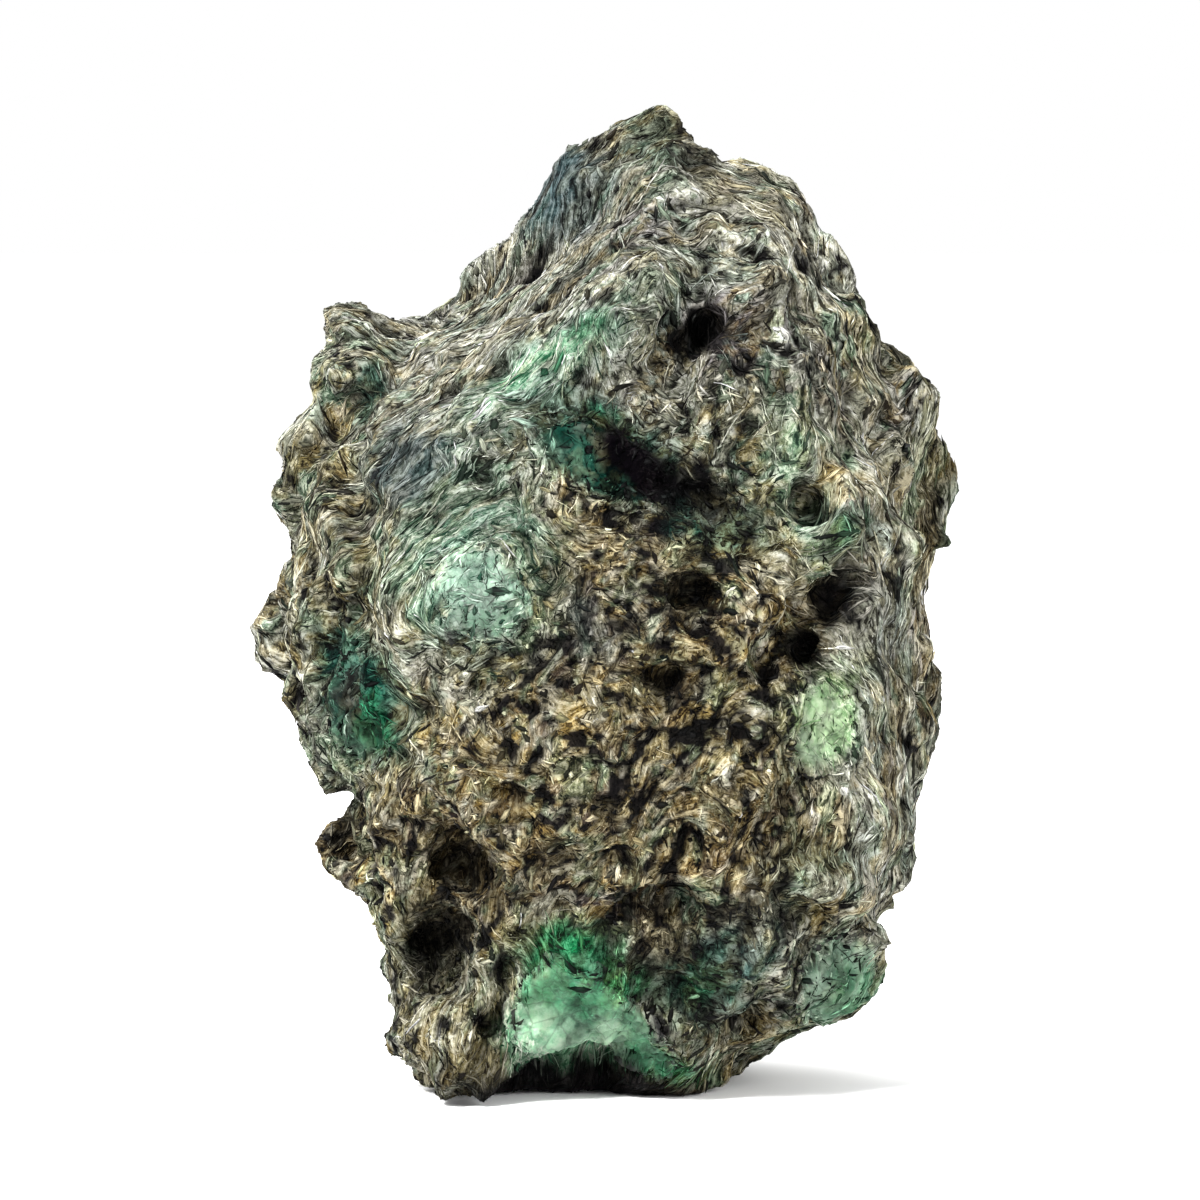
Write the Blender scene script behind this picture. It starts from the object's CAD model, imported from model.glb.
"""Raw emerald in matrix: the looks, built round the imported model.

The schist gets a finely broken skin, covered with threads, splinters and blades of mica and
hornblende that follow its laminae, and each emerald gets a cloudy broken crystal. Positions in
the tables are millimetres in the front view: x to the right, z up from the resting spot.
"""

import math
from itertools import product

import bmesh
import bpy
import numpy as np
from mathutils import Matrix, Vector
from mathutils.bvhtree import BVHTree


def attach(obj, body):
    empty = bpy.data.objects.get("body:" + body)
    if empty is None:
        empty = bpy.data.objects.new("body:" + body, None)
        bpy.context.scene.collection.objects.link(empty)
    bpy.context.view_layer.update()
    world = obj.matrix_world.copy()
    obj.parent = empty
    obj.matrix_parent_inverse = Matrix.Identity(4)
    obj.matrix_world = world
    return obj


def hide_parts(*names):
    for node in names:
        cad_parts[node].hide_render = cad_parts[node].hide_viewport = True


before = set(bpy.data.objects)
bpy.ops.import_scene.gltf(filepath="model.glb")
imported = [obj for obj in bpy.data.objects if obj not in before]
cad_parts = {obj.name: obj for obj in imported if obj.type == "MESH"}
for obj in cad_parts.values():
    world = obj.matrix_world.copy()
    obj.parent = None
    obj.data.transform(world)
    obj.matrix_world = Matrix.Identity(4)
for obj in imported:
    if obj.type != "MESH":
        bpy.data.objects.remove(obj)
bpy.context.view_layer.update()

MM = 0.001
FIRST_VOXEL, SKIN_VOXEL = 0.5, 0.51  # mm, the schist's mesh before and after it is broken up
EMERALD_VOXEL = 0.26  # mm, the mesh size of the emeralds
FILLING_SWELL = 0.45  # mm, closes the clearance between an emerald and its pocket
EMERALD_SINK = 0.1  # mm, brings the emeralds' faces level with the broken skin
DEPTH_OF_TINT = 0.5  # the rock is darker than it looks under the studio's light
GRAIN_REACH = 9.0  # mm, how far a line of the grain table carries
BACK_FROM, BACK_FULL = -8.0, 22.0  # mm in depth, where the laminae behind take over
CLUSTER = 3.4  # mm, the size of the clusters of mica
GLINTS = 0.08  # the share of strands that catch the light
GAP_DEPTH = 0.8  # mm, how deep the dark gaps between the clusters are
HOLE_SHARE = 0.45  # the share of a hole's depth that the skin gives it
EMERALD_DROP = 0.8  # mm, how far the skin stays below an emerald's face
FLOOR_MARGIN = 0.02  # mm, the least height of a strand above the floor
BRIGHTEST = 0.4  # no strand is paler than this
SLANT = np.array((0.3, 0.5, 0.8))  # how the height across the laminae moves the noise
BACK_ACROSS = np.array((-0.45, -0.5, 0.65))  # the way across the laminae behind
# The smooth egg that stands in for the lump where laminae ignore small relief, in mm
EGG_MIDDLE, EGG_HALF = np.array((0.0, 0.0, 39.0)), np.array((29.0, 24.0, 41.0))

# Which way the laminae run: (x, z, degrees above horizontal, how far they lean back in depth)
GRAIN = (
    (4, 74, 58, 0.1), (-3, 68, 55, 0.1), (-10, 56, 34, 0.15), (-15, 49, 42, 0.15),
    (-24, 51, 84, 0.2), (11, 70, -24, 0.15), (18, 62, -58, 0.1), (25, 47, -94, 0.1),
    (24, 23, -94, 0.1), (3, 43, -14, 0.2), (-3, 26, 18, 0.2), (13, 14, -130, 0.2),
    (-13, 24, 40, 0.2), (-12, 5, 78, 0.2), (8, 4, -132, 0.2), (-21, 27, 86, 0.2),
    (-25, 37, 66, 0.2), (13, 54, -80, 0.2), (12, 36, -24, 0.2), (22, 36, -92, 0.1),
    (21, 29, -92, 0.1), (21, 20, -96, 0.1), (19, 60, -70, 0.1),
)

# Where the laminae are crumpled: (x, z, half width, half height, how much)
CHAOS = (
    (3, 30, 17, 16, 1.0), (4, 47, 12, 8, 0.9), (-12, 17, 8, 9, 0.9), (10, 59, 9, 7, 0.45),
    (8, 12, 13, 8, 0.9), (-14, 6, 7, 7, 0.5), (2, 70, 8, 7, 0.3), (-22, 30, 6, 14, 0.5),
)

# Where the surface is smooth: (x, z, half width, half height, degrees, how much)
CALM = (
    (-3.4, 72, 2.6, 3.6, 50, 0.9), (-13.6, 49, 2.6, 2.4, 20, 0.6), (-9.6, 41, 3.6, 4.2, -34, 0.6),
    (-2.4, 9.6, 5, 6, -30, 0.8), (17.8, 30.6, 2.8, 3.6, -12, 0.6), (19, 9.6, 4, 3, 20, 0.5),
)


def srgb(*values):
    """A linear colour from its 0 to 255 display values."""
    values = np.array(values) / 255.0
    linear = np.where(values > 0.04045, ((values + 0.055) / 1.055) ** 2.4, values / 12.92)
    return DEPTH_OF_TINT * linear


def palette(deep, middle, pale):
    """The three tones of a mineral mix: its gaps, its body and its bright threads."""
    return np.stack([srgb(*deep), srgb(*middle), srgb(*pale)])


PALETTES = {
    "olive": palette((18, 18, 10), (112, 114, 88), (206, 206, 182)),
    "grey": palette((32, 32, 24), (142, 144, 128), (230, 230, 220)),
    "pale": palette((54, 52, 42), (180, 180, 160), (244, 244, 232)),
    "brown": palette((6, 2, 1), (130, 108, 68), (226, 208, 160)),
    "gold": palette((40, 24, 4), (160, 131, 62), (230, 208, 148)),
    "tan": palette((50, 40, 22), (170, 158, 112), (234, 224, 190)),
    "slate": palette((12, 20, 22), (58, 78, 80), (122, 138, 140)),
    "dark": palette((2, 1, 1), (46, 40, 32), (140, 130, 106)),
    "black": palette((0, 0, 1), (6, 4, 7), (26, 22, 24)),
    "plum": palette((10, 4, 10), (82, 70, 78), (172, 164, 168)),
    "mint": palette((36, 78, 60), (138, 176, 150), (208, 228, 212)),
    "jade": palette((50, 132, 88), (162, 220, 174), (234, 250, 224)),
    "leaf": palette((44, 76, 40), (134, 176, 116), (206, 228, 184)),
    "sage": palette((18, 44, 32), (94, 134, 106), (190, 214, 190)),
    "green": palette((0, 28, 12), (4, 106, 60), (66, 170, 116)),
    "teal": palette((0, 6, 5), (4, 54, 44), (54, 116, 96)),
}

GREENS = ("mint", "jade", "leaf", "sage", "green", "teal", "slate")
WISPY = ("mint", "sage")

# Patches of colour in the front: (palette, x, z, half width, half height, degrees, strength)
PATCHES = (
    ("olive", -2, 40, 30, 46, 0, 0.5), ("grey", -4, 62, 18, 18, 30, 0.7),
    ("pale", 10, 68, 8, 6, -30, 0.9), ("pale", 15, 64, 6, 7, -50, 0.95),
    ("pale", -12, 58, 9, 4, 32, 0.6), ("brown", 5, 27, 21, 17, 0, 0.9),
    ("brown", -12, 21, 8, 9, 0, 0.85), ("brown", 4, 43, 12, 6, -20, 0.7),
    ("gold", 2, 33, 6, 1.8, 10, 0.7), ("tan", 2, 32.6, 5, 1.4, 10, 0.8),
    ("tan", 12, 30, 7, 5, 10, 0.8), ("gold", 13, 37, 7, 3, 30, 0.6),
    ("tan", -4, 28, 6, 2.6, -20, 0.4), ("gold", -8, 27, 5, 3, 40, 0.4),
    ("tan", -11, 6, 6, 4.5, 20, 0.6), ("pale", 21.8, 30, 3.6, 24, 2, 1.0),
    ("brown", 26.6, 37, 1.6, 12, 0, 0.7), ("gold", 22.8, 25, 1.0, 12, 2, 0.4),
    ("brown", -21, 19, 3, 4, 30, 0.8), ("slate", -3.6, 71.6, 4.6, 6.0, 50, 1.0),
    ("teal", 4, 75.6, 2.6, 2.6, 50, 0.6), ("black", 7.2, 73.8, 2.0, 2.4, -40, 0.8),
    ("sage", 1, 61, 10, 3.6, 32, 0.5), ("pale", -6, 57.2, 13, 5.0, 34, 1.0),
    ("sage", -7, 56.4, 11, 3.0, 34, 0.25), ("mint", -4, 58.4, 9, 2.2, 32, 0.95),
    ("mint", -2.6, 58.6, 6, 2.6, 33, 0.9), ("green", -0.8, 60.8, 2.6, 1.0, 30, 0.7),
    ("jade", -4.6, 58.0, 5, 1.0, 33, 0.7), ("mint", -8, 54.0, 8, 2.0, 30, 0.7),
    ("sage", -10, 50, 9, 3.0, 30, 0.6), ("teal", 0.6, 51.6, 8.4, 4.0, -34, 0.95),
    ("black", 4.8, 45.8, 2.0, 1.4, 0, 1.0), ("black", 8.0, 49.0, 1.1, 2.0, 10, 1.0),
    ("green", 2, 52.4, 4.4, 1.0, -36, 0.5), ("black", 3.4, 49.8, 7.0, 2.2, -42, 1.0),
    ("teal", 9.6, 45.4, 4.4, 2.4, -24, 0.85), ("slate", -14.6, 50, 4.4, 3.6, 20, 0.9),
    ("sage", -9.6, 42, 8, 8, -34, 0.8), ("mint", -9.4, 42.4, 5.4, 5.6, -34, 0.85),
    ("mint", -12.6, 44.6, 4, 1.6, 30, 0.6), ("teal", -9.6, 36.4, 4, 2.0, -20, 0.5),
    ("sage", 17.6, 45, 3, 3, 0, 0.8), ("sage", 15, 52, 3, 7, 0, 0.7),
    ("green", 19.4, 44.8, 1.2, 2.4, 0, 0.6), ("sage", 17.8, 30.6, 4.8, 6, -12, 0.6),
    ("leaf", 17.8, 31.2, 2.8, 3.8, -12, 0.95), ("dark", -1, 39, 3.4, 5, 20, 0.6),
    ("slate", -1, 38, 1.6, 4, 24, 0.6), ("teal", -18.4, 55.6, 1.2, 4.4, -20, 0.9),
    ("teal", -18.6, 31.6, 4, 6.6, 24, 1.0), ("green", -17.6, 29.6, 1.6, 3, 10, 0.6),
    ("black", -20.0, 32.6, 1.2, 4.4, 16, 0.85), ("teal", -21, 34.6, 2, 2.4, 0, 0.6),
    ("sage", -20.6, 26.6, 3.4, 3.6, 0, 0.6), ("black", -2.4, 1.4, 13, 4.6, -4, 0.98),
    ("black", 4.6, 9.6, 2.6, 2.4, 0, 0.8), ("jade", -2.8, 5.6, 6.4, 3.0, -8, 0.95),
    ("green", -1.6, 10.6, 6.2, 5.2, -30, 1.0), ("green", 4.4, 3.6, 5.4, 1.5, -26, 0.9),
    ("pale", 1.0, 5.6, 1.6, 1.2, -30, 0.6), ("sage", 18.8, 9.6, 5.4, 3.4, 20, 0.8),
    ("green", 20.4, 8.4, 3.4, 2.8, 40, 0.6), ("teal", 8.8, 10.4, 5.4, 4.0, 60, 0.9),
    ("sage", 12.4, 10.6, 1.4, 4.4, -20, 0.7), ("green", 8.2, 10.6, 3.0, 1.6, 60, 0.5),
    ("teal", 15, 19, 3.6, 3.4, 20, 0.5), ("slate", 12, 14, 5, 4, 30, 0.5),
    ("slate", 22.4, 38, 1.4, 4, 0, 0.6), ("teal", 24.6, 20, 1.6, 5, 10, 0.4),
    ("dark", 3.4, 16.4, 7, 1.6, 4, 0.9), ("black", -13, 11.8, 3.4, 4, 10, 0.9),
    ("black", -10.6, 18.6, 4, 2.4, -30, 0.8), ("black", 8, 48, 2.6, 2.4, -30, 0.85),
    ("black", 18.4, 40.4, 3.6, 2.4, 35, 0.85), ("black", 16, 36.4, 2.2, 1.6, -20, 0.8),
    ("black", 5, 33.8, 3.2, 1.0, -8, 0.8), ("black", 1.6, 38, 2, 1.2, 0, 0.8),
    ("black", 7, 40.8, 2.2, 1.4, 10, 0.8), ("plum", 9.2, 60.6, 4, 3.6, 10, 0.8),
    ("plum", 16, 57, 5, 3, -40, 0.6), ("dark", 14, 56.6, 2.6, 2.0, -40, 0.6),
    ("black", -20.6, 20.2, 1.6, 1.4, 30, 0.9), ("tan", -10, 4.4, 3.6, 2.4, -40, 0.5),
    ("black", -3.4, 0.4, 9.4, 3.0, -6, 0.97), ("dark", -22.4, 47, 3, 9, 84, 0.4),
    ("dark", 12, 7.4, 1.4, 5, -28, 0.6), ("black", -7, 23.6, 2.4, 1.4, 30, 0.7),
    ("black", 5.6, 12.6, 2.6, 1.6, 20, 0.7), ("plum", 24.6, 55, 2.6, 5, -60, 0.5),
    ("black", -3.4, 20.0, 3, 1.6, -10, 0.7), ("black", -13.6, 31, 2.4, 1.8, 20, 0.6),
    ("plum", 3, 69, 3, 2.6, 40, 0.4), ("black", 10.8, 25.6, 2.0, 1.0, 10, 0.6),
    ("black", 0.2, 24.0, 2.2, 1.0, -30, 0.6), ("black", 14.2, 24.4, 1.6, 1.4, 40, 0.6),
    ("black", 8.4, 60.2, 2.4, 1.7, 10, 0.95), ("black", 6.8, 39.8, 2.0, 1.2, 10, 0.7),
    ("black", 5, 32.6, 1.8, 1.0, 0, 0.7), ("black", 16, 35.3, 2.2, 1.8, -20, 0.9),
    ("black", 18.4, 39.4, 2.8, 2.0, 35, 0.9),
)

# Mineral grains scattered through the rock: (palette, share of the grains, strength)
MINERALS = (
    ("black", 0.10, 0.75), ("dark", 0.12, 0.7), ("teal", 0.07, 0.6), ("sage", 0.08, 0.6),
    ("gold", 0.09, 0.55), ("tan", 0.10, 0.6), ("pale", 0.12, 0.7), ("plum", 0.05, 0.5),
)

# The two sets of grains: (length in mm, thickness in mm, seed, strength)
GRAIN_SIZES = ((2.6, 1.3, 34, 0.7), (1.3, 0.6, 35, 0.6))

# Holes in the front: (x, z, half width, half height, degrees, depth), in mm
HOLES = (
    (-13, 11.8, 2.6, 3.2, 10, 2.4), (-10.6, 18.6, 3.2, 1.6, -30, 2.0),
    (8, 48, 2.2, 1.5, -30, 2.0), (18.4, 40.4, 2.6, 1.4, 35, 2.2), (16, 36.4, 1.6, 1.0, -20, 1.8),
    (5, 33.8, 2.6, 0.8, -8, 1.6), (1.6, 38, 1.3, 0.8, 20, 1.5), (7, 40.8, 1.8, 1.0, 10, 1.7),
    (9.2, 60.6, 1.9, 1.2, 10, 1.4), (7.2, 73.8, 1.2, 1.8, -40, 1.6),
    (-20.6, 20.2, 1.3, 1.1, 30, 2.0), (-7, 23.6, 1.6, 1.0, 30, 1.6),
    (3.4, 16.4, 5.0, 0.9, 4, 1.8), (6, 12.2, 1.8, 1.2, 20, 1.4), (2, 49.6, 3.4, 0.8, -36, 1.2),
    (-16.8, 36, 0.7, 5.0, -4, 1.0), (12, 7.4, 0.8, 4.0, -28, 1.2),
    (14.4, 56.2, 1.8, 0.9, -40, 1.2), (-1.6, 36.4, 0.7, 2.2, 14, 1.0),
    (-3.4, 20.0, 2.2, 1.0, -10, 1.6), (-13.6, 31, 1.8, 1.2, 20, 1.4),
    (10.8, 25.6, 1.6, 0.7, 10, 1.4), (0.2, 24.0, 1.8, 0.7, -30, 1.4),
    (14.2, 24.4, 1.2, 0.9, 40, 1.4),
)

# The emeralds: node -> (slot, palette, how cloudy, how much they shine, splinters on them)
EMERALDS = {
    "emerald_lower_front": ("emerald_bright", "green", 0.5, 0.3, 0.05),
    "emerald_left_front": ("emerald_mint", "mint", 0.3, 0.2, 0.75),
    "emerald_right_front": ("emerald_light", "leaf", 0.3, 0.2, 0.6),
    "emerald_dark_centre": ("emerald_dark", "teal", 0.05, 0.01, 0.7),
    "emerald_left_seam": ("emerald_seam", "teal", 0.1, 0.1, 0.6),
    "emerald_right_foot": ("emerald_foot", "sage", 0.2, 0.2, 0.6),
}

# The strands on the surface: pieces -> count, triangle rings, half length, half width, height
# and lift in mm as (least, most), turn in degrees, how curly, and each piece's roughness and shine
STRANDS = (
    {
        "names": ("dark_mica_threads", "pale_mica_threads"), "count": 18000, "rings": 3,
        "length": (0.5, 2.6), "width": (0.025, 0.08), "height": (0.04, 0.12), "lift": 0.06,
        "turn": (6, 40), "curl": 0.07, "bright": 0.3, "crumpled": 0.5, "seed": 92,
        "finishes": ((0.75, 0.03), (0.35, 0.2)),
    },
    {
        "names": ("hornblende_needles", "mica_flakes"), "count": 50000, "rings": 1,
        "length": (0.15, 0.8), "width": (0.02, 0.09), "height": (0.04, 0.12), "lift": 0.08,
        "turn": (12, 75), "curl": 0.0, "bright": 0.05, "crumpled": 1.5, "seed": 93,
        "finishes": ((0.75, 0.03), (0.35, 0.25)),
    },
    {
        "names": ("biotite_blades",), "count": 7000, "rings": 2,
        "length": (0.5, 1.8), "width": (0.08, 0.34), "height": (0.08, 0.24), "lift": 0.3,
        "turn": (10, 45), "curl": 0.05, "bright": -0.15, "crumpled": 2.5, "seed": 94,
        "finishes": ((0.5, 0.08),),
    },
)


def chances(whole, seed):
    """Three even random numbers, 0 to 1, for each whole-numbered place."""
    x, y, z = (whole[:, axis].astype(np.int64).astype(np.uint32) for axis in range(3))
    mix = x * np.uint32(0x8DA6B343) ^ y * np.uint32(0xD8163841) ^ z * np.uint32(0xCB1AB31F)
    mix = mix + np.uint32(seed * 0x9E3779B1 & 0xFFFFFFFF)
    for shift, factor in ((16, 0x7FEB352D), (15, 0x846CA68B)):
        mix ^= mix >> np.uint32(shift)
        mix *= np.uint32(factor)
    mix ^= mix >> np.uint32(16)
    parts = [(mix >> np.uint32(10 * axis)) & np.uint32(1023) for axis in range(3)]
    return np.stack(parts, axis=1) / 1023.0


def noisy(points, size, seed):
    """Smooth noise at each point, about -1 to 1, with swells of this size."""
    places = points / size
    whole = np.floor(places)
    share = places - whole
    ease = share**3 * (share * (share * 6.0 - 15.0) + 10.0)
    total = np.zeros(len(points))
    for corner in product((0, 1), repeat=3):
        slope = 2.0 * chances(whole + corner, seed) - 1.0
        weight = np.prod(np.where(corner, ease, 1.0 - ease), axis=1)
        total += weight * (slope * (share - corner)).sum(axis=1)
    return 1.7 * total


def cells(places, seed):
    """For each place, the distances to its two nearest cell middles, and the nearest middle."""
    base = np.floor(places)
    first = np.full(len(places), 9.0)
    second = np.full(len(places), 9.0)
    middles = np.zeros(places.shape)
    for corner in product((-1, 0, 1), repeat=3):
        middle = base + corner + chances(base + corner, seed)
        distance = np.linalg.norm(places - middle, axis=1)
        closer = distance < first
        second = np.where(closer, first, np.minimum(second, distance))
        middles[closer] = middle[closer]
        first = np.minimum(first, distance)
    return first, second, middles


def smooth(values, low, high):
    """0 below low, 1 above high, and a smooth step between them."""
    share = np.clip((values - low) / (high - low), 0.0, 1.0)
    return share * share * (3.0 - 2.0 * share)


def unit(vectors):
    return vectors / np.maximum(np.linalg.norm(vectors, axis=1, keepdims=True), 1e-9)


def reach_of(points, waver, x, z, half_width, half_height, degrees):
    """How far each point lies from a patch's middle, as a share of its size, with ragged edges."""
    angle = math.radians(degrees)
    ragged = min(1.0, half_height / 3.5)
    dx = points[:, 0] + ragged * waver[0] - x
    dz = points[:, 2] + ragged * waver[1] - z
    along = dx * math.cos(angle) + dz * math.sin(angle)
    across = dz * math.cos(angle) - dx * math.sin(angle)
    return np.hypot(along / half_width, across / half_height)


def wavers(points, seed, broad, fine):
    """Shifts sideways and upwards that make the edges of patches ragged."""
    return [
        broad * noisy(points, 4.0, seed + i) + fine * noisy(points, 1.4, seed + 5 + i)
        for i in range(2)
    ]


def frontness(points):
    """1 on the side that the photograph shows, 0 on the back."""
    return 1.0 - smooth(points[:, 1], 4.0, 12.0)


def chaos_of(points):
    """How crumpled the laminae are at each point, 0 to 1."""
    total = 0.5 * smooth(noisy(points, 11, 41), 0.1, 0.6) * (1.0 - frontness(points))
    for x, z, wide, high, strength in CHAOS:
        reach = reach_of(points, (0.0, 0.0), x, z, wide, high, 0)
        total = np.maximum(total, strength * frontness(points) * (1.0 - smooth(reach, 0.5, 1.2)))
    return total


def wrapped(points):
    """Each point moved straight out to a smooth egg, so that laminae ignore the small relief."""
    offset = points - EGG_MIDDLE
    return EGG_MIDDLE + offset / np.linalg.norm(offset / EGG_HALF, axis=1, keepdims=True)


def flat_level(points):
    """The height of each point across the laminae, whose planes follow the grain table."""
    egg = wrapped(points)
    weights = 2.0 * smooth(points[:, 1], BACK_FROM, BACK_FULL) + 1e-6
    total = weights * ((egg - EGG_MIDDLE) @ BACK_ACROSS)
    for x, z, degrees, lean in GRAIN:
        angle = math.radians(degrees)
        across = np.array((-math.sin(angle), lean, math.cos(angle)))
        reach = np.hypot(points[:, 0] - x, points[:, 2] - z) / GRAIN_REACH
        weight = np.exp(-(reach**2))
        total += weight * ((egg - np.array((x, 0.0, z))) @ across)
        weights += weight
    return total / weights


def cluster_level(points):
    """The height across the laminae of clusters of mica that each lie their own way."""
    warp = np.stack([noisy(points, 3.0, seed) for seed in (5, 6, 7)], axis=1)
    places = points / CLUSTER + 0.3 * warp
    middles = cells(places, 8)[2]
    slope = np.stack([noisy(middles, 0.41, seed) for seed in (9, 10, 11)], axis=1)
    return 2.4 * CLUSTER * ((places - middles) * slope).sum(axis=1)


def level_of(points):
    """The height across the laminae, with their folds and crumples."""
    egg = wrapped(points)
    folds = 0.6 * noisy(egg, 7.0, 3) + 0.1 * noisy(egg, 2.4, 4)
    return flat_level(points) + folds + chaos_of(points) * cluster_level(egg)


def across_of(points):
    """The direction across the laminae at each point."""
    step = 0.15
    here = level_of(points)
    ahead = [level_of(points + step * axis) for axis in np.eye(3)]
    return unit(np.stack([value - here for value in ahead], axis=1))


def stretched(points, level, along, across):
    """Places for noise that is drawn out along the laminae: lengths in mm along and across."""
    return points / along + SLANT * (level / across)[:, None]


def calm_of(points):
    """How smooth the surface is at each point, 0 to 1."""
    waver = wavers(points, 21, 0.6, 0.5)
    total = np.zeros(len(points))
    for x, z, wide, high, degrees, strength in CALM:
        reach = reach_of(points, waver, x, z, wide, high, degrees)
        total = np.maximum(total, strength * frontness(points) * (1.0 - smooth(reach, 0.6, 1.2)))
    return total


def gloom_of(points, level):
    """How far each point lies in one of the dark gaps between clusters of mica, 0 to 1."""
    gaps = noisy(stretched(points, level, 3.2, 1.8), 1.0, 36) + 0.7 * noisy(points, 1.5, 37)
    gaps += 0.6 * noisy(stretched(points, level, 1.2, 0.4), 1.0, 38)
    often = 0.62 * chaos_of(points) + 0.3 * noisy(points, 9, 39)
    return smooth(gaps, 0.7 - often, 0.8 - often)


def broad_washes(points, own, crystal):
    """Washes over wide areas, and a crystal's own colour: (palette, share at each point)."""
    front = frontness(points)
    broad, patchy, rare = noisy(points, 14, 31), noisy(points, 7, 32), noisy(points, 9, 33)
    behind = 1.0 - 0.6 * front
    return [
        ("grey", smooth(broad, -0.1, 0.4) * behind), ("brown", smooth(-broad, 0.0, 0.4) * behind),
        ("pale", 0.6 * smooth(patchy, 0.2, 0.5) * behind), ("sage", 0.7 * smooth(rare, 0.2, 0.5)),
        ("dark", 0.7 * smooth(-patchy, 0.3, 0.6) * behind),
        ("teal", smooth(-rare, 0.36, 0.55) * (1 - front)),
        ("mint", smooth(rare, 0.5, 0.62) * (1 - front)), (own, crystal * np.ones(len(points))),
    ]


def patch_washes(points, level, crystal):
    """The washes of the front's patches, and how plain the rock stays at each point."""
    waver = wavers(points, 11, 0.9, 0.9)
    front = frontness(points)
    wisps = noisy(stretched(points, level, 4.0, 0.7), 1.0, 40) + 0.5 * noisy(points, 1.6, 42)
    wisps = np.maximum(0.45 + 0.55 * smooth(wisps, -0.4, 0.3), crystal)
    plain = (1.0 - 0.85 * crystal) * np.ones(len(points))
    washes = []
    for name, x, z, wide, high, degrees, strength in PATCHES:
        reach = reach_of(points, waver, x, z, wide, high, degrees)
        share = strength * front * (1.0 - smooth(reach, 0.5, 1.2))
        if name in WISPY:
            share = share * wisps
        elif name not in GREENS and name not in ("black", "dark"):
            share = share * (1.0 - 0.8 * crystal)
        if name == "black":
            plain = np.minimum(plain, 1.0 - share)
        elif name in GREENS:
            plain = np.minimum(plain, 1.0 - 0.75 * share)
        washes.append((name, share))
    return washes, plain


def grain_washes(points, level, plain):
    """The washes of the mineral grains, which show where the rock is plain."""
    washes = []
    for size, across, seed, weight in GRAIN_SIZES:
        middles = cells(stretched(points, level, size, across), seed)[2]
        lot = (middles.sum(axis=1) * 5.3) % 1.0
        start = 0.0
        for name, share, strength in MINERALS:
            chosen = (lot >= start) & (lot < start + share)
            washes.append((name, weight * strength * plain * chosen))
            start += share
    return washes


def tones_of(points, level, own="olive", crystal=0.0):
    """The deep, middle and pale colour at each point, with its own palette in a crystal."""
    patches, plain = patch_washes(points, level, crystal)
    gaps = (0.4 + 0.58 * plain) * (1.0 - crystal) * gloom_of(points, level)
    washes = broad_washes(points, own, crystal) + patches + grain_washes(points, level, plain)
    tones = np.tile(PALETTES["olive"], (len(points), 1, 1))
    for name, share in [*washes, ("black", gaps)]:
        tones += (PALETTES[name] - tones) * share[:, None, None]
    light = 1.0 + 0.3 * noisy(points, 5.5, 43)
    light += 0.5 * noisy(stretched(points, level, 2.2, 0.9), 1.0, 44)
    return tones * np.clip(light, 0.25, 1.7)[:, None, None]


def vertices_of(mesh):
    """(points, normals) of a mesh, in millimetres."""
    points = np.empty(len(mesh.vertices) * 3)
    mesh.vertices.foreach_get("co", points)
    normals = np.empty(len(mesh.vertices) * 3)
    mesh.vertex_normals.foreach_get("vector", normals)
    return points.reshape(-1, 3) / MM, normals.reshape(-1, 3)


def triangles_of(mesh):
    mesh.calc_loop_triangles()
    triangles = np.empty(len(mesh.loop_triangles) * 3, np.int32)
    mesh.loop_triangles.foreach_get("vertices", triangles)
    return triangles.reshape(-1, 3)


def move_to(mesh, points):
    """Moves the vertices, none of them below the floor."""
    points[:, 2] = np.maximum(points[:, 2], 0.0)
    mesh.vertices.foreach_set("co", (points * MM).astype(np.float32).ravel())
    mesh.update()


def remeshed(obj, voxel, passes):
    """Gives the object an even mesh of this size in mm, smoothed this many times."""
    remesh = obj.modifiers.new("even mesh", "REMESH")
    remesh.mode = "VOXEL"
    remesh.voxel_size = voxel * MM
    remesh.use_smooth_shade = True
    if passes:
        soften = obj.modifiers.new("soften", "SMOOTH")
        soften.factor = 0.5
        soften.iterations = passes
    graph = bpy.context.evaluated_depsgraph_get()
    made = bpy.data.meshes.new_from_object(obj.evaluated_get(graph))
    obj.modifiers.clear()
    obj.data = made
    return made


def copy_of(node, name):
    """A new piece with a CAD node's mesh."""
    piece = bpy.data.objects.new(name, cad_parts[node].data.copy())
    bpy.context.scene.collection.objects.link(piece)
    piece.data.materials.clear()
    bpy.context.view_layer.update()
    return piece


def set_values(mesh, name, values):
    """Stores one number or colour a vertex, for the material to read."""
    if values.ndim == 1:
        layer = mesh.attributes.new(name, "FLOAT", "POINT")
        layer.data.foreach_set("value", values.astype(np.float32))
    else:
        layer = mesh.attributes.new(name, "FLOAT_COLOR", "POINT")
        rgba = np.hstack([values, np.ones((len(values), 1))])
        layer.data.foreach_set("color", rgba.astype(np.float32).ravel())


def set_tones(mesh, tones):
    for i, name in enumerate(("deep", "middle", "pale")):
        set_values(mesh, name, tones[:, i])


def chipped(places, seed, height, tilt, crease):
    """The surface of tilted chips with creases between them."""
    first, second, middles = cells(places, seed)
    slope = np.stack([noisy(middles, 0.37, seed + i) for i in (1, 2, 3)], axis=1)
    out = height * noisy(middles, 0.43, seed + 4)
    out += tilt * ((places - middles) * slope).sum(axis=1)
    return out - crease * (1.0 - smooth(second - first, 0.02, 0.2))


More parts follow.
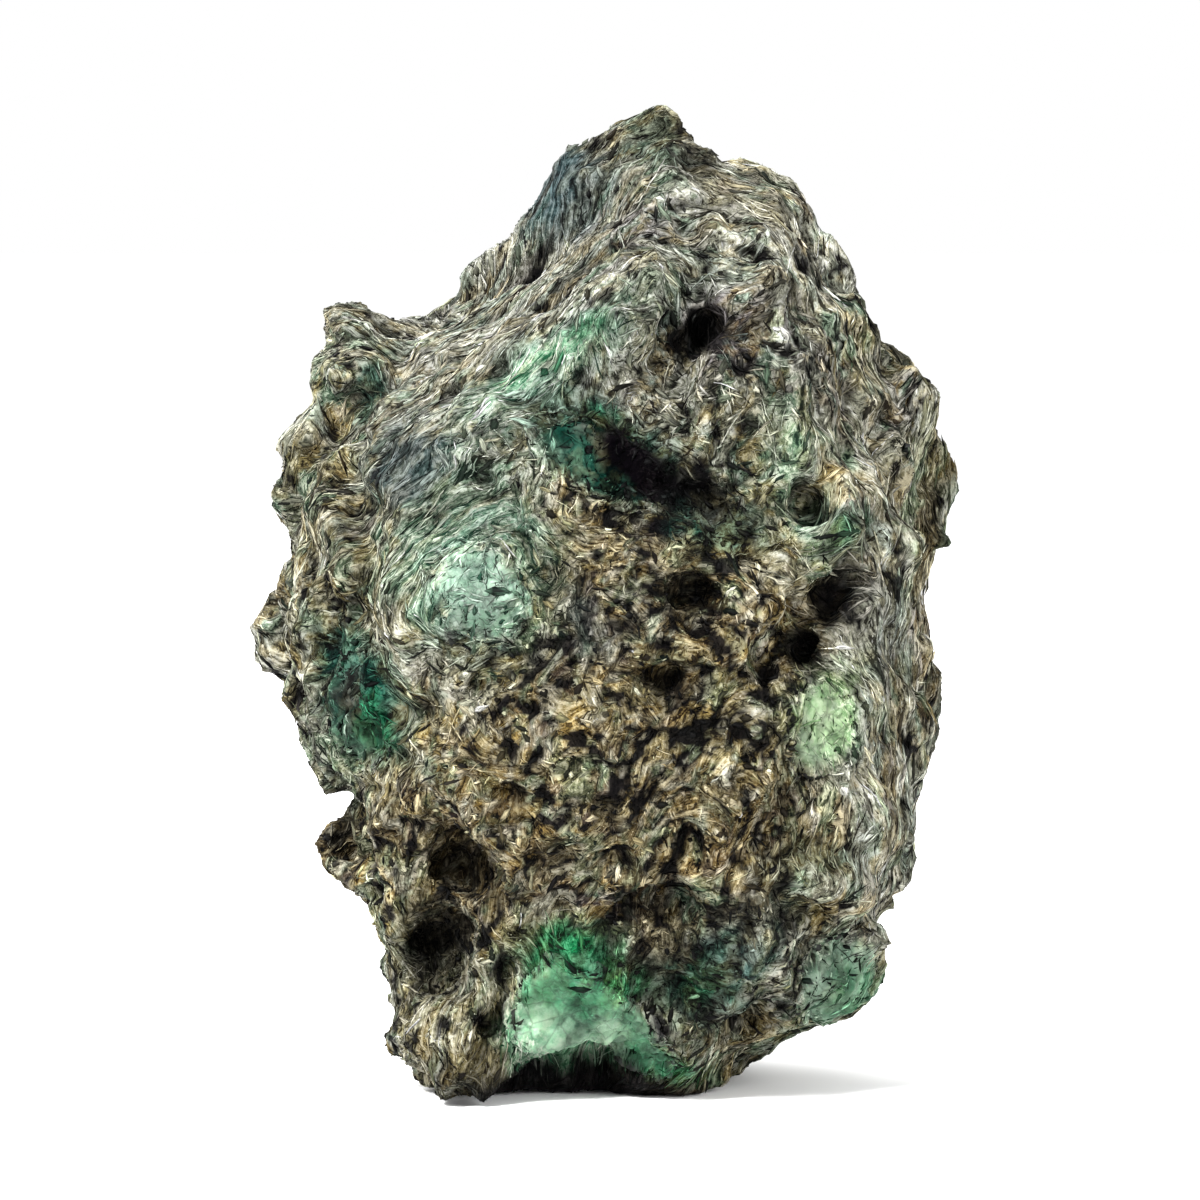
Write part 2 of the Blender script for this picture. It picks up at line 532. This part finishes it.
def break_up(points, level):
    """How far the fine broken surface stands out at each point, in mm."""
    rough = 1.0 - 0.85 * calm_of(points)
    out = chipped(stretched(points, level, 4.4, 2.6), 50, 0.75, 1.2, 0.4)
    out += chipped(stretched(points, level, 1.9, 1.0), 60, 0.4, 0.65, 0.25)
    broken = 0.35 + 0.65 * smooth(noisy(points, 5, 71), -0.2, 0.4)
    step = (level / 1.6 + 0.7 * noisy(points, 3.2, 72)) % 1.0
    out += 0.6 * broken * (step - 0.5)
    out += 0.34 * (0.4 - np.abs(noisy(stretched(points, level, 3.2, 0.7), 1.0, 73)))
    split = noisy(stretched(points, level, 3.0, 1.3), 1.0, 74)
    often = 0.35 + 0.65 * smooth(noisy(points, 7, 75), -0.3, 0.4)
    out -= 1.5 * often * smooth(split, 0.3, 0.62)
    return rough * out


def hole_depth(points):
    """How deep the named holes are at each point, in mm."""
    waver = wavers(points, 81, 1.4, 1.6)
    ragged = 0.8 * noisy(points, 1.2, 88)
    depth = np.zeros(len(points))
    for x, z, wide, high, degrees, deep in HOLES:
        reach = reach_of(points, waver, x, z, wide, high, degrees) + ragged
        share = frontness(points) * (1.0 - smooth(reach, 0.4, 1.1))
        depth = np.maximum(depth, HOLE_SHARE * deep * share)
    return depth


def openness(tree, points, normals, reach=4.0, rays=12):
    """How much of its surroundings each vertex sees within this reach, 0 to 1."""
    chance = np.random.default_rng(71)
    seen = np.zeros(len(points))
    starts = points + 0.25 * normals
    for _ in range(rays):
        way = unit(normals * 1.05 + unit(chance.normal(size=points.shape)))
        seen += [
            tree.ray_cast(Vector(start), Vector(ray), reach)[0] is None
            for start, ray in zip(starts, way)
        ]
    return seen / rays


def new_material(name):
    made = bpy.data.materials.new(name)
    made.use_nodes = True
    tree = made.node_tree
    return made, tree, tree.nodes["Principled BSDF"]


def fill_in(tree, made, values):
    """Sets or links the inputs of a shader node."""
    for key, value in values.items():
        if isinstance(value, bpy.types.NodeSocket):
            tree.links.new(value, made.inputs[key])
        else:
            made.inputs[key].default_value = value
    return made


def node(tree, kind, values, **settings):
    """A shader node with its settings, and with its inputs set or linked."""
    made = tree.nodes.new(kind)
    for name, value in settings.items():
        setattr(made, name, value)
    return fill_in(tree, made, values)


def attribute(tree, name, output="Fac"):
    return node(tree, "ShaderNodeAttribute", {}, attribute_name=name).outputs[output]


def math_node(tree, operation, first, second=0.0):
    return node(tree, "ShaderNodeMath", {0: first, 1: second}, operation=operation).outputs[0]


def mixed(tree, share, first, second, blend="MIX"):
    """The result of mixing two colours."""
    values = {0: share, 6: first, 7: second}
    return node(tree, "ShaderNodeMix", values, data_type="RGBA", blend_type=blend).outputs[2]


def ramp(tree, value, *stops):
    """A colour ramp of grey values: (position, brightness) pairs."""
    made = node(tree, "ShaderNodeValToRGB", {0: value})
    elements = made.color_ramp.elements
    while len(elements) < len(stops):
        elements.new(0.5)
    for element, (position, grey) in zip(elements, stops):
        element.position = position
        element.color = (grey, grey, grey, 1.0)
    return made.outputs[0]


def lamina_places(tree, along, across):
    """Texture coordinates drawn out along the laminae: lengths in mm along and across them."""
    place = node(tree, "ShaderNodeTexCoord", {}).outputs["Object"]
    size = (1 / (along * MM),) * 3
    spread = node(tree, "ShaderNodeVectorMath", {0: place, 1: size}, operation="MULTIPLY")
    level = attribute(tree, "level")
    steps = [math_node(tree, "MULTIPLY", level, share / across) for share in SLANT]
    shift = node(tree, "ShaderNodeCombineXYZ", dict(enumerate(steps)))
    sum_of = {0: spread.outputs[0], 1: shift.outputs[0]}
    return node(tree, "ShaderNodeVectorMath", sum_of, operation="ADD").outputs[0]


def noise_at(tree, place, scale, detail=4.0, roughness=0.6):
    values = {"Vector": place, "Scale": scale, "Detail": detail, "Roughness": roughness}
    return node(tree, "ShaderNodeTexNoise", values).outputs["Fac"]


def rock_surface(tree):
    """The schist's colour, height and roughness: threads and grains along the laminae."""
    streaks = noise_at(tree, lamina_places(tree, 3.0, 0.45), 1.0, 5.0, 0.7)
    threads = noise_at(tree, lamina_places(tree, 1.5, 0.15), 1.0, 3.0, 0.65)
    bands = noise_at(tree, lamina_places(tree, 9.0, 0.4), 1.0, 3.0, 0.6)
    grain_places = lamina_places(tree, 1.0, 0.4)
    grains = node(tree, "ShaderNodeTexVoronoi", {"Vector": grain_places, "Scale": 1.0})
    lot = node(tree, "ShaderNodeSeparateColor", {0: grains.outputs["Color"]})
    place = node(tree, "ShaderNodeTexCoord", {}).outputs["Object"]
    specks = noise_at(tree, place, 1 / (0.5 * MM), 4.0, 0.75)
    parts = (streaks, 0.9), (threads, 0.8), (bands, 0.5), (lot.outputs[0], 0.16), (specks, 1.0)
    total = sum(share * 0.5 for part, share in parts)
    value = 0.5 - total
    for part, share in parts:
        value = math_node(tree, "ADD", math_node(tree, "MULTIPLY", part, share), value)
    body = ramp(tree, value, (0.3, 0.0), (0.47, 1.0))
    light = ramp(tree, value, (0.5, 0.0), (0.68, 1.0))
    deep, middle, pale = (attribute(tree, name, "Color") for name in ("deep", "middle", "pale"))
    colour = mixed(tree, light, mixed(tree, body, deep, middle), pale)
    shade = ramp(tree, attribute(tree, "openness"), (0.1, 0.04), (0.45, 0.4), (0.85, 1.0))
    colour = mixed(tree, 1.0, colour, shade, "MULTIPLY")
    gloss = ramp(tree, lot.outputs[1], (0.0, 0.9), (0.6, 0.8), (0.95, 0.5))
    return colour, value, gloss


def finish_shader(tree, shader, colour, roughness, height, strength, distance):
    """Links a colour, a roughness and a bump of this distance in mm to the shader."""
    values = {"Strength": strength, "Distance": distance * MM, "Height": height}
    bump = node(tree, "ShaderNodeBump", values).outputs[0]
    fill_in(tree, shader, {"Base Color": colour, "Roughness": roughness, "Normal": bump})


def skin_material():
    """Foliated schist."""
    made, tree, shader = new_material("schist_skin")
    colour, height, gloss = rock_surface(tree)
    finish_shader(tree, shader, colour, gloss, height, 1.0, 0.4)
    shader.inputs["Specular IOR Level"].default_value = 0.06
    return made


def strand_material(name, roughness, shine):
    """A mineral strand: its own colour, a little mottled, with a mica gloss."""
    made, tree, shader = new_material(name)
    mottle = noise_at(tree, attribute(tree, "fibre", "Vector"), 1.0, 3.0, 0.65)
    spread = {0: mottle, 1: 0.36, 2: 0.64, 3: 0.15, 4: 1.75}
    strength = node(tree, "ShaderNodeMapRange", spread).outputs[0]
    colour = mixed(tree, 1.0, attribute(tree, "shade", "Color"), strength, "MULTIPLY")
    spread = {0: mottle, 1: 0.35, 2: 0.65, 3: roughness, 4: roughness + 0.2}
    gloss = node(tree, "ShaderNodeMapRange", spread).outputs[0]
    finish_shader(tree, shader, colour, gloss, mottle, 0.4, 0.1)
    shader.inputs["Specular IOR Level"].default_value = shine
    return made


def emerald_material(name, cloud, shine):
    """Cloudy beryl with veils and fine cracks, which passes into the schist at its rim."""
    made, tree, shader = new_material(name)
    place = node(tree, "ShaderNodeTexCoord", {}).outputs["Object"]
    clouds = noise_at(tree, place, 1 / (3.0 * MM), 6.0, 0.66)
    veils = noise_at(tree, place, 1 / (0.8 * MM), 5.0, 0.72)
    deep, middle, pale = (attribute(tree, name, "Color") for name in ("deep", "middle", "pale"))
    colour = mixed(tree, ramp(tree, clouds, (0.34, 0.0), (0.5, 1.0)), deep, middle)
    colour = mixed(tree, ramp(tree, clouds, (0.5, 0.0), (0.68, 0.8)), colour, pale)
    veil = math_node(tree, "MULTIPLY", ramp(tree, veils, (0.46, 0.0), (0.66, 1.0)), cloud)
    colour = mixed(tree, veil, colour, pale)
    crack_values = {"Vector": place, "Scale": 1 / (1.7 * MM)}
    cracks = node(tree, "ShaderNodeTexVoronoi", crack_values, feature="DISTANCE_TO_EDGE")
    crack = cracks.outputs["Distance"]
    colour = mixed(tree, 1.0, colour, ramp(tree, crack, (0.0, 0.6), (0.06, 1.0)), "MULTIPLY")
    shade = ramp(tree, attribute(tree, "openness"), (0.1, 0.3), (0.8, 1.0))
    colour = mixed(tree, 1.0, colour, shade, "MULTIPLY")
    rock, height, gloss = rock_surface(tree)
    uneven = math_node(tree, "MULTIPLY", height, 1.2)
    ragged = math_node(tree, "ADD", attribute(tree, "rim"), uneven)
    passing = ramp(tree, ragged, (0.85, 0.0), (1.25, 1.0))
    colour = mixed(tree, passing, colour, rock)
    gloss = mixed(tree, passing, ramp(tree, colour, (0.0, 0.9), (0.1, 0.35)), gloss)
    height = math_node(tree, "ADD", veils, math_node(tree, "MULTIPLY", crack, 0.5))
    finish_shader(tree, shader, colour, gloss, height, 0.6, 0.2)
    shader.inputs["IOR"].default_value = 1.58
    shader.inputs["Specular IOR Level"].default_value = shine
    shader.inputs["Subsurface Weight"].default_value = 0.2
    shader.inputs["Subsurface Radius"].default_value = (0.6, 1.0, 0.7)
    shader.inputs["Subsurface Scale"].default_value = 1.0 * MM
    return made


def filled_copy(name):
    """A new piece with the matrix and the emeralds, swollen a little, as one lump."""
    piece = copy_of("matrix", name)
    lump = bmesh.new()
    lump.from_mesh(piece.data)
    for emerald in EMERALDS:
        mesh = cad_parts[emerald].data.copy()
        points, normals = vertices_of(mesh)
        move_to(mesh, points + normals * FILLING_SWELL)
        lump.from_mesh(mesh)
        bpy.data.meshes.remove(mesh)
    lump.to_mesh(piece.data)
    lump.free()
    return piece


def inside_of(tree, points, start, end):
    """How far within an emerald's face each point is, by its distance from the schist."""
    away = np.array([tree.find_nearest(Vector(point))[3] for point in points])
    return smooth(away, start, end)


def make_skin(schist):
    """The schist's finely broken skin, with its tones and how thickly strands cover it."""
    skin = filled_copy("schist_skin")
    mesh = remeshed(skin, FIRST_VOXEL, 5)
    points, normals = vertices_of(mesh)
    level = level_of(points)
    inside = inside_of(schist, points, 0.3, 1.4)
    out = (1.0 - 0.5 * inside) * break_up(points, level)
    out -= (FILLING_SWELL + EMERALD_DROP) * inside
    out -= (1.0 - inside) * (hole_depth(points) + GAP_DEPTH * gloom_of(points, level))
    out = np.where(points[:, 2] < 0.6, np.minimum(out, 0.0), out)
    move_to(mesh, points + normals * out[:, None])
    mesh = remeshed(skin, SKIN_VOXEL, 1)
    points, normals = vertices_of(mesh)
    move_to(mesh, points)
    level = level_of(points)
    tones = tones_of(points, level)
    set_values(mesh, "level", level)
    set_tones(mesh, tones)
    mesh.materials.append(skin_material())
    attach(skin, "root")
    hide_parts("matrix")
    return skin, tones, 1.0 - 0.95 * calm_of(points)


def make_emerald(name, schist):
    """One emerald as a cloudy crystal mass that comes out of the skin."""
    slot, own, cloud, shine, cover = EMERALDS[name]
    piece = copy_of(name, name + "_crystal")
    mesh = remeshed(piece, EMERALD_VOXEL, 4)
    points, normals = vertices_of(mesh)
    level = level_of(points)
    inside = inside_of(schist, points, 0.3, 2.2)
    out = chipped(points / 1.8, 84, 0.2, 0.5, 0.15) + 0.5 * break_up(points, level)
    out += 0.08 * noisy(points, 0.6, 85) - EMERALD_SINK
    move_to(mesh, points + normals * out[:, None])
    points, normals = vertices_of(mesh)
    tones = tones_of(points, level, own, inside)
    set_values(mesh, "rim", 1.0 - inside)
    set_values(mesh, "level", level)
    set_tones(mesh, tones)
    mesh.materials.append(emerald_material(name + "_crystal", cloud, shine))
    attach(piece, "root")
    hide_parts(name)
    return piece, tones, 1.0 - (1.0 - cover) * inside


def tree_of(mesh):
    return BVHTree.FromPolygons(vertices_of(mesh)[0].tolist(), triangles_of(mesh).tolist())


def join_ground(parts):
    """The skin's and the emeralds' joined surface, with how open it is at each vertex."""
    meshes = [piece.data for piece, tones, cover in parts]
    surfaces = [(*vertices_of(mesh), triangles_of(mesh)) for mesh in meshes]
    starts = np.cumsum([0] + [len(surface[0]) for surface in surfaces])
    ground = {
        "points": np.vstack([surface[0] for surface in surfaces]),
        "normals": np.vstack([surface[1] for surface in surfaces]),
        "triangles": np.vstack([surface[2] + start for surface, start in zip(surfaces, starts)]),
        "tones": np.concatenate([tones for piece, tones, cover in parts]),
        "cover": np.concatenate([cover for piece, tones, cover in parts]),
    }
    points = ground["points"]
    ground["tree"] = BVHTree.FromPolygons(points.tolist(), ground["triangles"].tolist())
    ground["seen"] = openness(ground["tree"], points, ground["normals"])
    for (piece, tones, cover), start, end in zip(parts, starts, starts[1:]):
        set_values(piece.data, "openness", ground["seen"][start:end])
    return ground


def scattered(ground, kind, chance):
    """Random places on the ground: (points, normals, tones, openness)."""
    triangles = ground["triangles"]
    corners = ground["points"][triangles]
    sides = corners[:, 1:] - corners[:, :1]
    areas = np.linalg.norm(np.cross(sides[:, 0], sides[:, 1]), axis=1)
    weights = areas * ground["cover"][triangles].mean(axis=1)
    weights *= ground["seen"][triangles].max(axis=1) > 0.05
    weights *= corners[:, :, 2].min(axis=1) > 0.3
    weights *= 1.0 + (kind["crumpled"] - 1.0) * chaos_of(corners.mean(axis=1))
    chosen = triangles[chance.choice(len(areas), size=kind["count"], p=weights / weights.sum())]
    shares = chance.dirichlet((1.0, 1.0, 1.0), size=kind["count"])
    return (
        (ground["points"][chosen] * shares[:, :, None]).sum(axis=1),
        unit((ground["normals"][chosen] * shares[:, :, None]).sum(axis=1)),
        (ground["tones"][chosen] * shares[:, :, None, None]).sum(axis=1),
        (ground["seen"][chosen] * shares).sum(axis=1),
    )


def snapped(tree, points):
    """Each point moved to the surface nearest to it, and the way that surface faces."""
    placed = np.empty(points.shape)
    facing = np.empty(points.shape)
    for i, point in enumerate(points):
        placed[i], facing[i] = tree.find_nearest(Vector(point))[:2]
    return placed, facing


def laid_out(ground, kind, middles, facing, chance):
    """Lays a strand along the laminae at each middle: (points, normals) of their lines."""
    chaos = chaos_of(middles)
    least, most = kind["turn"]
    turn = chance.normal(size=len(middles)) * np.radians(least + (most - least) * chaos)
    least, most = kind["length"]
    steps = kind["rings"] + 1
    stride = (least + (most - least) * chance.random(len(middles)) ** 2.2) * 2 / steps
    stride *= 1.0 - 0.6 * chaos
    grain = unit(np.cross(facing, across_of(middles)))
    grain = grain * np.cos(turn)[:, None] + np.cross(facing, grain) * np.sin(turn)[:, None]
    line = [(middles, facing)]
    for way, count in ((-1, steps // 2), (1, steps - steps // 2)):
        place, up = middles, facing
        for _ in range(count):
            heading = way * unit(grain - up * (grain * up).sum(axis=1, keepdims=True))
            place, up = snapped(ground["tree"], place + heading * stride[:, None])
            line = [(place, up)] + line if way < 0 else line + [(place, up)]
    return np.stack([place for place, up in line]), np.stack([up for place, up in line])


def strand_sides(rings):
    """The triangles of one closed strand: a tip, three-cornered rings, and a tip."""
    sides = []
    last = 3 * (rings - 1)
    for k in range(3):
        here, then = 1 + k, 1 + (k + 1) % 3
        sides.append((0, then, here))
        for low in range(0, last, 3):
            sides.append((low + here, low + then, low + then + 3))
            sides.append((low + here, low + then + 3, low + here + 3))
        sides.append((last + here, last + then, 3 * rings + 1))
    return np.array(sides)


def strand_shapes(kind, line, facing, chance):
    """The corner points of every strand round its line."""
    count = line.shape[1]
    rings = kind["rings"]
    along = [unit(line[min(i + 1, rings + 1)] - line[i - 1]) for i in range(1, rings + 1)]
    ends = [line[i] + facing[i] * (0.01 + kind["lift"] * chance.random((count, 1)) ** 3)
            for i in (0, -1)]
    least, most = kind["width"]
    width = least + (most - least) * chance.random((count, 1)) ** 2
    least, most = kind["height"]
    height = least + (most - least) * chance.random((count, 1))
    corners = [ends[0]]
    for i, way in enumerate(along, start=1):
        beside = unit(np.cross(way, facing[i]))
        middle = line[i] + beside * kind["curl"] * chance.normal(size=(count, 1))
        wide = width * (0.7 + 0.6 * chance.random((count, 1)))
        corners += [middle - beside * wide, middle + facing[i] * height, middle + beside * wide]
    corners.append(ends[1])
    return np.stack(corners, axis=1)


def fibre_places(rings, corners, chance):
    """Where each corner lies across and along its strand, with an offset of the strand's own."""
    count = len(corners)
    width = np.linalg.norm(corners[:, 3] - corners[:, 1], axis=1)
    across = np.array([0.0] + [-0.5, 0.0, 0.5] * rings + [0.0]) * width[:, None]
    steps = np.array([0.0] + [i for i in range(1, rings + 1) for _ in range(3)] + [rings + 1.0])
    length = np.linalg.norm(corners[:, -1] - corners[:, 0], axis=1)
    along = steps * length[:, None] / (rings + 1)
    offset = np.repeat(100.0 * chance.random((count, 1)), across.shape[1], axis=1)
    return np.stack([across / 0.07, along / 0.9, offset], axis=2)


def strand_mesh(name, rings, corners, shades, fibres):
    """One mesh of many closed strands."""
    count, points_each = corners.shape[:2]
    faces = (np.arange(count)[:, None, None] * points_each + strand_sides(rings)).reshape(-1, 3)
    mesh = bpy.data.meshes.new(name)
    mesh.vertices.add(count * points_each)
    mesh.vertices.foreach_set("co", (corners * MM).astype(np.float32).ravel())
    mesh.loops.add(faces.size)
    mesh.loops.foreach_set("vertex_index", faces.astype(np.int32).ravel())
    mesh.polygons.add(len(faces))
    mesh.polygons.foreach_set("loop_start", np.arange(0, faces.size, 3, dtype=np.int32))
    mesh.update(calc_edges=True)
    set_values(mesh, "shade", shades.reshape(-1, 3))
    set_values(mesh, "fibre", fibres.reshape(-1, 3))
    return mesh


def make_strands(ground, kind):
    """One kind of strand, laid along the laminae all over the ground."""
    chance = np.random.default_rng(kind["seed"])
    middles, facing, tones, seen = scattered(ground, kind, chance)
    line, ups = laid_out(ground, kind, middles, facing, chance)
    corners = strand_shapes(kind, line, ups, chance)
    corners[:, :, 2] = np.maximum(corners[:, :, 2], FLOOR_MARGIN)
    fibres = fibre_places(kind["rings"], corners, chance)

    places = stretched(middles, level_of(middles), 1.8, 0.4)
    bright = kind["bright"] + 1.1 * noisy(places, 1.0, 95) + 0.8 * chance.normal(size=len(middles))
    share = np.clip(bright, -1, 1)[:, None]
    deep, middle, pale = (tones[:, i] for i in range(3))
    shades = middle + np.where(share < 0, (middle - deep) * share, (pale - middle) * share)
    shades *= np.where(chance.random(len(middles)) < GLINTS, 1.4, 1.0)[:, None]
    shades = np.minimum(shades * (0.06 + 0.94 * smooth(seen, 0.1, 0.85))[:, None], BRIGHTEST)

    places = corners.reshape(-1, 3)
    lit = 1.0 - 0.94 * gloom_of(places, level_of(places))
    shades = shades[:, None] * lit.reshape(*corners.shape[:2], 1)

    order = np.argsort(shades.sum(axis=(1, 2)), kind="stable")
    groups = np.array_split(order, len(kind["names"]))
    for name, (roughness, shine), chosen in zip(kind["names"], kind["finishes"], groups):
        mesh = strand_mesh(name, kind["rings"], corners[chosen], shades[chosen], fibres[chosen])
        piece = bpy.data.objects.new(name, mesh)
        bpy.context.scene.collection.objects.link(piece)
        mesh.materials.append(strand_material(name, roughness, shine))
        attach(piece, "root")


def make_stage():
    """A plain pale floor, white surroundings, soft lights and the camera of the photograph."""
    scene = bpy.context.scene
    mesh = bpy.data.meshes.new("floor")
    reach = 4.0
    corners = [(-reach, -reach, 0), (reach, -reach, 0), (reach, reach, 0), (-reach, reach, 0)]
    mesh.from_pydata(corners, [], [(0, 1, 2, 3)])
    floor = bpy.data.objects.new("floor", mesh)
    scene.collection.objects.link(floor)
    made, _, shader = new_material("floor")
    shader.inputs["Base Color"].default_value = (1.0, 1.0, 1.0, 1.0)
    shader.inputs["Roughness"].default_value = 1.0
    shader.inputs["Specular IOR Level"].default_value = 0.0
    mesh.materials.append(made)

    world = bpy.data.worlds.new("studio")
    world.use_nodes = True
    world.node_tree.nodes["Background"].inputs["Color"].default_value = (1, 1, 1, 1)
    world.node_tree.nodes["Background"].inputs["Strength"].default_value = 1.0
    scene.world = world
    scene.view_settings.view_transform = "Standard"

    middle = Vector((0, 0, 0.04))
    for name, place, size, power in (
        ("key", (-0.30, -0.42, 0.52), 0.16, 11.0),
        ("fill", (0.50, -0.45, 0.30), 0.30, 3.0),
        ("back", (-0.25, 0.50, 0.45), 0.30, 5.0),
    ):
        light = bpy.data.lights.new(name, "AREA")
        light.size = size
        light.energy = power
        lamp = bpy.data.objects.new(name, light)
        scene.collection.objects.link(lamp)
        lamp.location = place
        lamp.rotation_mode = "QUATERNION"
        lamp.rotation_quaternion = (Vector(place) - middle).to_track_quat("Z", "Y")

    distance, elevation = 0.52, math.radians(4)
    camera = bpy.data.objects.new("camera", bpy.data.cameras.new("camera"))
    scene.collection.objects.link(camera)
    scene.camera = camera
    camera.data.sensor_width = 36
    camera.data.lens = 36 * distance / 0.096
    camera.data.clip_start = 0.02
    back = Vector((0, -math.cos(elevation), math.sin(elevation)))
    camera.location = Vector((0, 0, 0.0386)) + back * distance
    camera.rotation_mode = "QUATERNION"
    camera.rotation_quaternion = back.to_track_quat("Z", "Y")


make_stage()
schist = tree_of(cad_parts["matrix"].data)
parts = [make_skin(schist)] + [make_emerald(name, schist) for name in EMERALDS]
ground = join_ground(parts)
for kind in STRANDS:
    make_strands(ground, kind)
